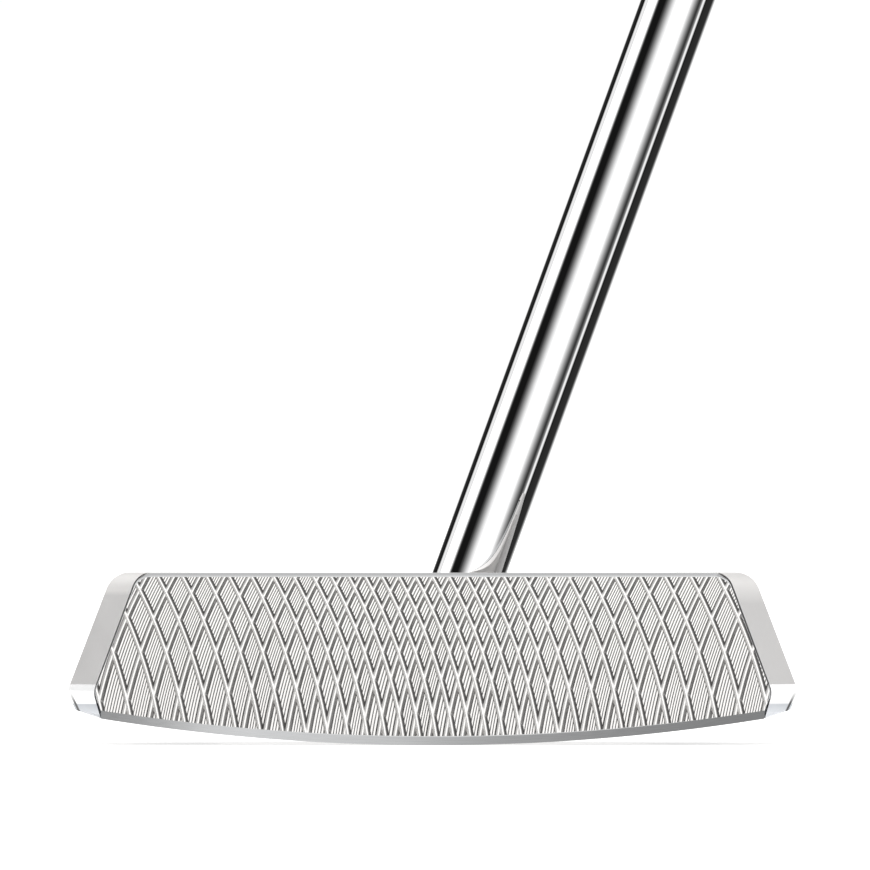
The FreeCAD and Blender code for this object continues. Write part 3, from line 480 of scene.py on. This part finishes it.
def build_milled_face():
    u_lines, v_lines, groove = [], [], {}
    for a, b in zip(PITCH[:-1], PITCH[1:]):
        u_lines += [a - 0.46, a - 0.34, a - 0.21, a - 0.08, a + 0.02, a + 0.12, a + 0.22, a + 0.38, a + 0.54]
        span = (b - 0.46) - (a + 0.54)
        count = max(2, int(round(span / 0.80)))
        u_lines += [a + 0.54 + span * k / count for k in range(1, count)]
        v_lines += [a - 0.52, a - 0.43, a - 0.34, a - 0.20, a - 0.08, a + 0.03, a + 0.14, a + 0.32, a + 0.50]
        span = (b - 0.52) - (a + 0.50)
        count = max(3, int(round(span / 0.40)))
        for k in range(count):
            start = a + 0.50 + span * k / count
            step = span / count
            for part, depth in ((0.0, 1.0), (0.30, 0.12), (0.60, 0.0), (0.84, 0.45)):
                if k == 0 and part == 0.0:
                    groove[round(start, 5)] = 1.0
                    continue
                v_lines.append(start + step * part)
                groove[round(start + step * part, 5)] = depth
        groove[round(b - 0.52, 5)] = 1.0
    u = np.array(sorted(u_lines))
    v = np.array(sorted(v_lines))
    pitch = np.array(PITCH)

    def nearest(values):
        index = np.abs(values[:, None] - pitch[None, :]).argmin(1)
        return values - pitch[index]

    hu = ridge_back(nearest(u))
    hv = ridge_fore(nearest(v))
    gv = np.array([groove.get(round(float(x), 5), 0.0) for x in v])
    verts, faces, index = [], [], {}
    painted_facet_light = []
    uu, vv = np.meshgrid(np.arange(len(u)), np.arange(len(v)), indexing="ij")
    shift = (v[vv] - u[uu]) / 2
    x = (v[vv] + u[uu]) / 2
    up = height_of(shift)
    inside = (up > 0.2) & (up < 25.8) & (np.abs(x) < 50.6) & (shift > -6.5) & (shift < 3.8)
    floor = -FLOOR_DEPTH - GROOVE_DEPTH * gv[vv]
    ridge = np.maximum(hu[uu], hv[vv])
    out = RISE + floor * (1 - ridge)
    ids = -np.ones(inside.shape, dtype=int)

    def vertex(i, j):
        if ids[i, j] < 0:
            ids[i, j] = len(verts)
            verts.append(face_point(float(x[i, j]), float(up[i, j]), float(out[i, j])))
        return int(ids[i, j])

    quad = inside[:-1, :-1] | inside[1:, :-1] | inside[:-1, 1:] | inside[1:, 1:]
    good = (shift < 3.84) & (shift > -12)
    for i, j in zip(*np.nonzero(quad)):
        if not (good[i, j] and good[i + 1, j] and good[i, j + 1] and good[i + 1, j + 1]):
            continue
        faces.append((vertex(i, j), vertex(i + 1, j), vertex(i + 1, j + 1), vertex(i, j + 1)))
    mesh = bpy.data.meshes.new("tmp")
    mesh.from_pydata([tuple(p) for p in verts], [], faces)
    bm = bmesh.new()
    bm.from_mesh(mesh)
    bpy.data.meshes.remove(mesh)
    # trim to the outline
    ring = plateau_outline()
    normal = Vector((0, -math.cos(LOFT), math.sin(LOFT)))
    up_dir = Vector((0, math.sin(LOFT), math.cos(LOFT)))
    count = len(ring)
    for k in range(count):
        a, b = ring[k], ring[(k + 1) % count]
        if (b - a).length < 1e-6:
            continue
        d = (b - a).normalized()
        outward = Vector((d.y, -d.x))
        plane_no = Vector((outward.x, 0, 0)) + up_dir * outward.y
        co = face_point(a.x, a.y, 0)
        reach = max((b - a).length * 0.5 + 2.0, 3.0) * MM
        mid = face_point((a.x + b.x) / 2, (a.y + b.y) / 2, 0)
        bmesh.ops.bisect_plane(bm, geom=bm.verts[:] + bm.edges[:] + bm.faces[:], dist=1e-9,
                               plane_co=co, plane_no=plane_no, clear_outer=True)
    # wall down to the plate
    border = [e for e in bm.edges if e.is_boundary]
    made = bmesh.ops.extrude_edge_only(bm, edges=border)
    moved = [g for g in made["geom"] if isinstance(g, bmesh.types.BMVert)]
    for vert in moved:
        level = (vert.co - face_point(0, 0, 0)).dot(normal)
        vert.co -= normal * (level + 0.02 * MM)
    bmesh.ops.recalc_face_normals(bm, faces=bm.faces[:])
    facing = sum((f.normal.dot(normal)) * f.calc_area() for f in bm.faces)
    if facing < 0:
        bmesh.ops.reverse_faces(bm, faces=bm.faces[:])
    # painted light and shade per facet: crests, flanks and tool marks get different painted brightness
    layer = bm.loops.layers.float.new("painted_facet_light")
    for face in bm.faces:
        centre = face.calc_center_median()
        cx = centre.x / MM
        up = (centre - face_point(0, 0, 0)).dot(up_dir) / MM
        level = (centre - face_point(0, 0, 0)).dot(normal) / MM
        shift = math.sqrt(max(ARC_R ** 2 - (up - ARC_Z) ** 2, 0.0)) - C0
        du = float(nearest(np.array([cx - shift]))[0])
        dv = float(nearest(np.array([cx + shift]))[0])
        hb = float(ridge_back(du))
        hf = float(ridge_fore(dv))
        flat = face.normal.dot(normal)
        if flat < 0.2:
            # outer wall of the raised area: painted shade where it faces the heel end or down, lighter elsewhere
            look = 95.0 if face.normal.x > 0.4 or face.normal.z < -0.5 else 165.0
        # cell floors: painted darker down in the tool-line grooves
        elif max(hb, hf) < 0.02:
            sunk = (RISE - FLOOR_DEPTH) - level
            look = 282.0 - min(1.0, sunk / (0.5 * GROOVE_DEPTH)) * 84.0
        # backslash ridges: one flank painted light, the other painted shade
        elif hb >= hf or hb > 0.80:
            look = float(np.interp(du, [-0.42, -0.36, -0.28, -0.03, 0.07, 0.17, 0.25, 0.46],
                                   [172.0, 222.0, 280.0, 276.0, 236.0, 176.0, 104.0, 116.0]))
            if hf > 0.72 and du > 0.12:
                look = 235.0                  # the other family runs into this flank
        # forward-slash ridges: painted light at the crest, painted shade towards the edges
        else:
            look = float(np.interp(dv, [-0.46, -0.38, -0.28, -0.14, 0.02, 0.09, 0.22, 0.42],
                                   [165.0, 182.0, 224.0, 250.0, 246.0, 234.0, 214.0, 220.0]))
        value = min(1.0, shine(look))
        for loop in face.loops:
            loop[layer] = value
    obj = from_bmesh("face_milled", bm, smooth=False)
    print("face_milled triangles", sum(len(p.vertices) - 2 for p in obj.data.polygons))
    return obj


face_milled = build_milled_face()
paint(face_milled, M_MILLED)
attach(face_milled, "root")


def build_plate():
    """The plate under the raised area: front at its loft, broken edges, flat back."""
    sole_r = 302.7
    corners = []
    # start at the heel's foot and go up, over the top and down the toe side
    def fillet_pts(p0, p1, p2, radius, steps):
        p0, p1, p2 = Vector(p0), Vector(p1), Vector(p2)
        a = (p0 - p1).normalized()
        b = (p2 - p1).normalized()
        half = a.angle(b) / 2
        centre = p1 + (a + b).normalized() * (radius / math.sin(half))
        s = p1 + a * (radius / math.tan(half)) - centre
        e = p1 + b * (radius / math.tan(half)) - centre
        total = s.angle(e)
        turn = 1 if s.cross(e) > 0 else -1
        return [centre + Vector((s.x * math.cos(turn * total * k / steps) - s.y * math.sin(turn * total * k / steps),
                                 s.x * math.sin(turn * total * k / steps) + s.y * math.cos(turn * total * k / steps)))
                for k in range(steps + 1)]
    foot = (48.1, 3.846)
    bend = (49.12, 7.7)
    top = (42.65, 25.0)
    right = ([Vector(foot)] + fillet_pts(foot, bend, top, 3.0, 8)
             + fillet_pts(bend, top, (-42.65, 25.0), 3.0, 12))
    left = [Vector((-p.x, p.y)) for p in reversed(right)]
    bottom = []
    for k in range(1, 48):
        x = -48.1 + 96.2 * k / 48
        bottom.append(Vector((x, sole_r - math.sqrt(sole_r ** 2 - x ** 2))))
    ring = right + left + bottom
    tan = math.tan(LOFT)
    back, edge, front = [], [], []
    for k, p in enumerate(ring):
        z = p.y
        y_front = BASE_Y + z * tan
        back.append(Vector((p.x, -9.8, z)))
        if z < 3.9:                           # the broken leading edge along the sole
            c = 1.25
            inner = Vector((p.x, z + c))
        else:
            c = 0.10 + 0.30 * min(1.0, max(0.0, (z - 24.0) / 0.9))
            ahead, behind = ring[(k + 1) % len(ring)], ring[k - 1]
            along = (ahead - behind).normalized()
            inner = p - Vector((along.y, -along.x)) * c
        edge.append(Vector((p.x, y_front + c, z)))
        front.append(Vector((inner.x, BASE_Y + inner.y * tan, inner.y)))
    count = len(ring)
    verts = [v * MM for v in back + edge + front]
    faces = []
    for k in range(count):
        m = (k + 1) % count
        faces.append((k, m, count + m, count + k))
        faces.append((count + k, count + m, 2 * count + m, 2 * count + k))
    faces.append(tuple(reversed(range(count))))
    faces.append(tuple(2 * count + k for k in range(count)))
    obj = new_object("face_plate_body", verts, faces)
    bm = bmesh.new()
    bm.from_mesh(obj.data)
    bmesh.ops.recalc_face_normals(bm, faces=bm.faces[:])
    bm.to_mesh(obj.data)
    bm.free()
    smooth_by_angle(obj, 22)
    return obj


face_plate_body = build_plate()
paint(face_plate_body, M_EDGE)
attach(face_plate_body, "root")
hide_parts("face_plate")


# -------------------------------------------------------------------- the shaft
def build_shaft():
    profile = [(4.72, 14.55), (4.95, 14.55), (5.15, 14.78)]
    last = 14.78
    radius = 5.15
    for k in range(10):
        at = 270.0 + 32.0 * k
        while at - last > 24.0:
            last += 16.0
            profile.append((radius, last))
        profile += [(radius, at - 0.35), (radius + 0.015, at), (radius + 0.205, at + 2.6),
                    (radius + 0.22, at + 2.95)]
        radius += 0.22
        last = at + 2.95
    while 855.0 - last > 24.0:
        last += 16.0
        profile.append((radius, last))
    profile += [(radius, 855.6), (radius - 0.3, 856.0), (radius - 0.43, 856.0)]
    ring = 192
    verts, faces = [], []
    for r, s in profile:
        for k in range(ring):
            a = 2 * math.pi * k / ring
            verts.append(shaft_point(r * math.cos(a), r * math.sin(a), s))
    for i in range(len(profile) - 1):
        for k in range(ring):
            m = (k + 1) % ring
            faces.append((i * ring + k, i * ring + m, (i + 1) * ring + m, (i + 1) * ring + k))
    obj = new_object("shaft_polished", verts, faces)
    bm = bmesh.new()
    bm.from_mesh(obj.data)
    bmesh.ops.recalc_face_normals(bm, faces=bm.faces[:])
    bm.to_mesh(obj.data)
    bm.free()
    smooth_by_angle(obj, 35)
    return obj


shaft = build_shaft()
paint(shaft, M_CHROME)
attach(shaft, "root")
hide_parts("shaft")


# --------------------------------------------------------------------- the grip
GRIP_START = 597.6
GRIP_END = 857.8
# distance up the grip, front flat, half width, back, front corner radius, back corner radius (mm)
GRIP = [(0.0, 9.1, 9.2, 9.2, 6.5, 8.4), (14.0, 9.8, 10.4, 10.0, 5.4, 9.4),
        (80.0, 11.0, 12.4, 11.4, 3.8, 11.2), (170.0, 12.2, 13.8, 13.6, 3.6, 12.6),
        (225.0, 12.6, 14.2, 16.2, 3.6, 13.2), (260.2, 12.6, 14.0, 15.2, 3.6, 13.0)]
FRONT_N, CORNER_A_N, SIDE_N, CORNER_B_N, BACK_N = 34, 8, 20, 28, 4


def grip_sizes(distance):
    """The five section sizes at a distance up the grip, on a smooth curve through the stations."""
    x = np.array([row[0] for row in GRIP])
    out = []
    for column in range(1, 6):
        y = np.array([row[column] for row in GRIP])
        slope = np.gradient(y, x)
        k = int(np.clip(np.searchsorted(x, distance) - 1, 0, len(x) - 2))
        h = x[k + 1] - x[k]
        t = min(max((distance - x[k]) / h, 0.0), 1.0)
        value = ((2 * t ** 3 - 3 * t ** 2 + 1) * y[k] + (t ** 3 - 2 * t ** 2 + t) * h * slope[k]
                 + (-2 * t ** 3 + 3 * t ** 2) * y[k + 1] + (t ** 3 - t ** 2) * h * slope[k + 1])
        out.append(float(min(max(value, min(y[k], y[k + 1])), max(y[k], y[k + 1]))))
    return out


def grip_ring(distance, inset):
    """Points and outward normals round the section, always the same number of each."""
    front, half, back, ra, rb = grip_sizes(distance)
    front, half, back, ra, rb = front - inset, half - inset, back - inset, ra - inset, rb - inset
    points, normals = [], []

    def run(a, b, count, normal):
        for k in range(count):
            t = k / count
            points.append((a[0] + (b[0] - a[0]) * t, a[1] + (b[1] - a[1]) * t))
            normals.append(normal)

    def turn(centre, radius, start, count):
        for k in range(count):
            a = math.radians(start + 90.0 * k / count)
            points.append((centre[0] + radius * math.cos(a), centre[1] + radius * math.sin(a)))
            normals.append((math.cos(a), math.sin(a)))

    run((-front, half - ra), (-front, -(half - ra)), FRONT_N, (-1.0, 0.0))
    turn((-front + ra, -(half - ra)), ra, 180.0, CORNER_A_N)
    run((-front + ra, -half), (back - rb, -half), SIDE_N, (0.0, -1.0))
    turn((back - rb, -(half - rb)), rb, 270.0, CORNER_B_N)
    run((back, -(half - rb)), (back, half - rb), BACK_N, (1.0, 0.0))
    turn((back - rb, half - rb), rb, 0.0, CORNER_B_N)
    run((back - rb, half), (-front + ra, half), SIDE_N, (0.0, 1.0))
    turn((-front + ra, half - ra), ra, 90.0, CORNER_A_N)
    return points, normals


def build_grip():
    """Moulded skin: ribbed flat front inside a sunk border, small dimples round the back."""
    pitch = 0.46
    first, last = 16.0, 250.0
    rows = int((last - first) / pitch)
    stations = [(0.0, 1.0), (0.10, 0.55), (0.35, 0.22), (0.8, 0.03), (1.6, 0.02), (5.0, 0.02), (9.0, 0.02),
                (13.0, 0.02)]
    stations += [(first + pitch * k, None) for k in range(rows + 1)]
    stations += [(252.0, 0.02), (254.6, 0.02), (255.0, 0.22), (255.6, 0.22), (256.0, 0.02), (258.4, 0.02),
                 (259.6, 0.03), (260.05, 0.16), (260.2, 0.45)]
    verts, count = [], None
    total = FRONT_N + 2 * (CORNER_A_N + SIDE_N + CORNER_B_N) + BACK_N
    line = 0
    for distance, fixed in stations:
        points, normals = grip_ring(distance, 0.0)
        for j, (p, nrm) in enumerate(zip(points, normals)):
            if fixed is not None:
                depth = fixed
            else:
                depth = 0.02
                edge = 4 <= line <= rows - 4
                if edge and 3 <= j <= FRONT_N - 3:
                    if line in (4, 5, rows - 5, rows - 4) or j in (3, FRONT_N - 3):
                        depth = 0.34
                    elif 5 <= j <= FRONT_N - 5 and 8 <= line <= rows - 8:
                        depth = {0: 0.26, 1: 0.10, 4: 0.10}.get(line % 5, 0.02)
                elif edge and FRONT_N + CORNER_A_N + 2 <= j <= total - CORNER_A_N - 2:
                    k = j - (FRONT_N + CORNER_A_N + 2)
                    a, b = line % 8, k % 6
                    if (a, b) in ((0, 0), (4, 3)):
                        depth = 0.32
                    elif (a, b) in ((1, 0), (7, 0), (0, 1), (0, 5), (3, 3), (5, 3), (4, 2), (4, 4)):
                        depth = 0.20
            verts.append(shaft_point(p[0] - nrm[0] * depth, p[1] - nrm[1] * depth, GRIP_START + distance))
        if fixed is None:
            line += 1
    outside = len(stations)
    # the inner wall, from the top down to the mouth round the shaft
    inner = [(260.2, 1.6), (225.0, 1.6), (170.0, 1.6), (80.0, 1.6), (14.0, 1.6), (4.5, 1.6)]
    for distance, inset in inner:
        points, normals = grip_ring(distance, inset)
        for p in points:
            verts.append(shaft_point(p[0], p[1], GRIP_START + distance))
    for distance, radius in ((4.4, 7.40), (0.3, 7.40), (0.0, 7.6)):
        points, normals = grip_ring(max(distance, 0.0), 0.0)
        for p in points:
            size = math.hypot(*p)
            verts.append(shaft_point(p[0] / size * radius, p[1] / size * radius, GRIP_START + distance))
    rings = outside + len(inner) + 3
    faces = []
    for i in range(rings):
        m = (i + 1) % rings
        for k in range(total):
            n = (k + 1) % total
            faces.append((i * total + k, i * total + n, m * total + n, m * total + k))
    obj = new_object("grip_moulded", verts, faces)
    bm = bmesh.new()
    bm.from_mesh(obj.data)
    bmesh.ops.recalc_face_normals(bm, faces=bm.faces[:])
    bm.to_mesh(obj.data)
    bm.free()
    smooth_by_angle(obj, 50)
    print("grip_moulded triangles", 2 * len(faces))
    return obj


grip = build_grip()
paint(grip, M_RUBBER)
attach(grip, "root")
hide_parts("grip_skin")


# ------------------------------------------------------------- floor and light
def build_stage():
    size = 6.0
    verts = [(-size, -size, 0), (size, -size, 0), (size, size, 0), (-size, size, 0)]
    floor = new_object("floor", verts, [(0, 1, 2, 3)])
    n = Nodes("floor_paint")
    c = n.coords()
    clouds = n.noise(c, 2.0, 2.0)
    tone = n.ramp(clouds, "Fac", [(0.3, 0.90), (0.7, 0.93)])
    n.link(tone, "Color", n.bsdf, "Base Color")
    n.bsdf.inputs["Roughness"].default_value = 0.9
    n.bsdf.inputs["Specular IOR Level"].default_value = 0.0
    n.bsdf.inputs["Emission Color"].default_value = (1.0, 1.0, 1.0, 1.0)
    n.bsdf.inputs["Emission Strength"].default_value = 0.55
    paint(floor, n.mat)
    floor.visible_glossy = False


build_stage()


def build_world():
    world = bpy.data.worlds.new("studio")
    bpy.context.scene.world = world
    world.use_nodes = True
    tree = world.node_tree
    tree.nodes.clear()

    def add(kind, **props):
        node = tree.nodes.new(kind)
        for key, value in props.items():
            setattr(node, key, value)
        return node

    def link(a, o, b, i):
        tree.links.new(a.outputs[o], b.inputs[i])

    def math_node(op, a=None, b=None, va=None, vb=None, clamp=False):
        node = add("ShaderNodeMath", operation=op)
        node.use_clamp = clamp
        if a is not None:
            tree.links.new(a, node.inputs[0])
        elif va is not None:
            node.inputs[0].default_value = va
        if b is not None:
            tree.links.new(b, node.inputs[1])
        elif vb is not None:
            node.inputs[1].default_value = vb
        return node.outputs[0]

    def dot(vec, direction):
        node = add("ShaderNodeVectorMath", operation="DOT_PRODUCT")
        tree.links.new(vec, node.inputs[0])
        node.inputs[1].default_value = direction
        return node.outputs["Value"]

    def ramp(source, stops):
        node = add("ShaderNodeValToRGB")
        r = node.color_ramp
        while len(r.elements) > 1:
            r.elements.remove(r.elements[-1])
        r.elements[0].position = stops[0][0]
        r.elements[0].color = grey(stops[0][1])
        for position, colour in stops[1:]:
            element = r.elements.new(position)
            element.color = grey(colour)
        tree.links.new(source, node.inputs["Fac"])
        return node.outputs["Color"]

    def mix(fac, a, b):
        node = add("ShaderNodeMix", data_type="RGBA")
        tree.links.new(fac, node.inputs["Factor"])
        tree.links.new(a, node.inputs["A"])
        tree.links.new(b, node.inputs["B"])
        return node.outputs["Result"]

    coord = add("ShaderNodeTexCoord").outputs["Generated"]
    right = dot(coord, (math.cos(LEAN), 0.0, -math.sin(LEAN)))
    front = dot(coord, (0.0, -1.0, 0.0))
    along = dot(coord, (math.sin(LEAN), 0.0, math.cos(LEAN)))
    angle = math_node("ARCTAN2", right, front)
    turn = math_node("ADD", math_node("DIVIDE", angle, vb=2 * math.pi), vb=0.5)

    def at(deg):
        return (deg + 180.0) / 360.0

    W = 1.35
    left = ramp(turn, [
        (0.0, W), (at(-164.6), 0.7), (at(-154.6), 0.03), (at(-123.6), 0.006), (at(-118.1), 0.86), (at(-108.6), 0.88),
        (at(-106.2), 0.66), (at(-103.6), 0.95), (at(-99.6), W), (at(-69.6), W), (at(-66.4), 0.85), (at(-61.6), 0.075),
        (at(-57.6), 0.008), (at(-38.6), 0.008), (at(-32.6), 0.058), (at(-25.6), 0.205), (at(-18.6), 0.45),
        (at(-9.6), 0.86), (at(-4.6), 1.05), (at(0), W), (1.0, W)])
    right_side = ramp(turn, [
        (0.0, W), (at(37.4), W), (at(43.4), 1.04), (at(49.9), 0.65), (at(57), 0.356), (at(64.4), 0.145),
        (at(70.9), 0.036), (at(75.9), 0.060), (at(82.4), 0.26), (at(85.9), 0.95), (at(90.4), 0.95),
        (at(95.4), 0.02), (at(97.9), 0.006), (at(101.4), 0.022), (at(134.4), 0.028), (at(142.4), 0.16),
        (at(151.4), 0.55), (at(165.4), 1.0), (1.0, W)])
    heelward = math_node("GREATER_THAN", turn, vb=0.5)
    bands = mix(heelward, left, right_side)
    # above the shaft's own plane: a dark side on the right, a grey one on the left
    high = ramp(turn, [
        (0.0, 0.9), (at(-150), 0.8), (at(-90), 0.9), (at(-40), 1.1), (at(-10), W),
        (at(20), W), (at(48), 0.9), (at(70), 0.6), (at(140), 0.5), (at(165), 0.7), (1.0, 0.9)])
    low = ramp(turn, [
        (0.0, 0.9), (at(-170), 0.9), (at(-160), 0.05), (at(-130), 0.04), (at(-122), 1.0), (at(-108), 1.1),
        (at(-100), 0.08), (at(-86), 0.06), (at(-74), 1.15), (at(-42), 1.2), (at(-32), 0.22), (at(-18), 0.18),
        (at(-8), 1.2), (at(10), W), (at(32), W), (at(42), 0.25), (at(54), 0.22), (at(62), 1.2),
        (at(80), 0.35), (at(88), 1.0), (at(98), 0.15), (at(135), 0.12), (at(160), 0.9), (1.0, 0.9)])
    to_high = ramp(along, [(0.14, 0.0), (0.42, 1.0)])
    minus = math_node("MULTIPLY", along, vb=-1.0)
    to_low = ramp(minus, [(0.14, 0.0), (0.42, 1.0)])
    colour = mix(to_high, bands, high)
    colour = mix(to_low, colour, low)
    # straight below: a grey sweep that the leading edge picks up, brighter left of the middle
    sideways = dot(coord, (1.0, 0.0, 0.0))
    sweep = math_node("ADD", sideways, vb=0.5)
    below = ramp(sweep, [(0.0, 0.48), (0.32, 0.50), (0.35, 0.72), (0.372, 1.06), (0.395, 1.12), (0.43, 1.03),
                         (0.47, 0.97), (0.5, 0.80), (0.54, 0.61), (0.58, 0.52), (0.63, 0.43), (0.67, 0.385),
                         (1.0, 0.36)])
    deep = dot(coord, (0.0, 0.0, -1.0))
    to_below = ramp(deep, [(0.80, 0.0), (0.92, 1.0)])
    colour = mix(to_below, colour, below)
    path = add("ShaderNodeLightPath")
    light = add("ShaderNodeBackground")
    tree.links.new(colour, light.inputs["Color"])
    light.inputs["Strength"].default_value = 1.0
    plain_bg = add("ShaderNodeBackground")
    plain_bg.inputs["Color"].default_value = (1, 1, 1, 1)
    plain_bg.inputs["Strength"].default_value = 1.02
    choose = add("ShaderNodeMixShader")
    link(path, "Is Camera Ray", choose, "Fac")
    link(light, "Background", choose, 1)
    link(plain_bg, "Background", choose, 2)
    out = add("ShaderNodeOutputWorld")
    link(choose, "Shader", out, "Surface")


build_world()


def add_area(name, location, target, size, energy):
    data = bpy.data.lights.new(name, "AREA")
    data.shape = "SQUARE"
    data.size = size
    data.energy = energy
    obj = bpy.data.objects.new(name, data)
    bpy.context.scene.collection.objects.link(obj)
    obj.location = location
    direction = Vector(target) - Vector(location)
    obj.rotation_euler = direction.to_track_quat("-Z", "Y").to_euler()
    obj.visible_camera = False
    obj.visible_glossy = False
    return obj


add_area("overhead", (0.3, -0.6, 2.4), (0.15, 0, 0.3), 1.6, 22.0)


# ----------------------------------------------------------------------- camera
def build_camera():
    data = bpy.data.cameras.new("camera")
    data.sensor_width = 36.0
    distance = 2.2
    width = 870.0 / 6.9 * MM
    data.lens = 36.0 * distance / width
    data.clip_start = 0.05
    data.clip_end = 60.0
    cam = bpy.data.objects.new("camera", data)
    bpy.context.scene.collection.objects.link(cam)
    x = (435.0 - 432.75) / 6.9 * MM
    z = (745.5 - 435.0) / 6.9 * MM
    cam.location = (x, -distance - 0.0137, z)
    cam.rotation_euler = (math.radians(90), 0, 0)
    bpy.context.scene.camera = cam


build_camera()
scene = bpy.context.scene
scene.view_settings.view_transform = "Standard"
scene.view_settings.look = "None"
scene.view_settings.exposure = 0.0
scene.view_settings.gamma = 1.0
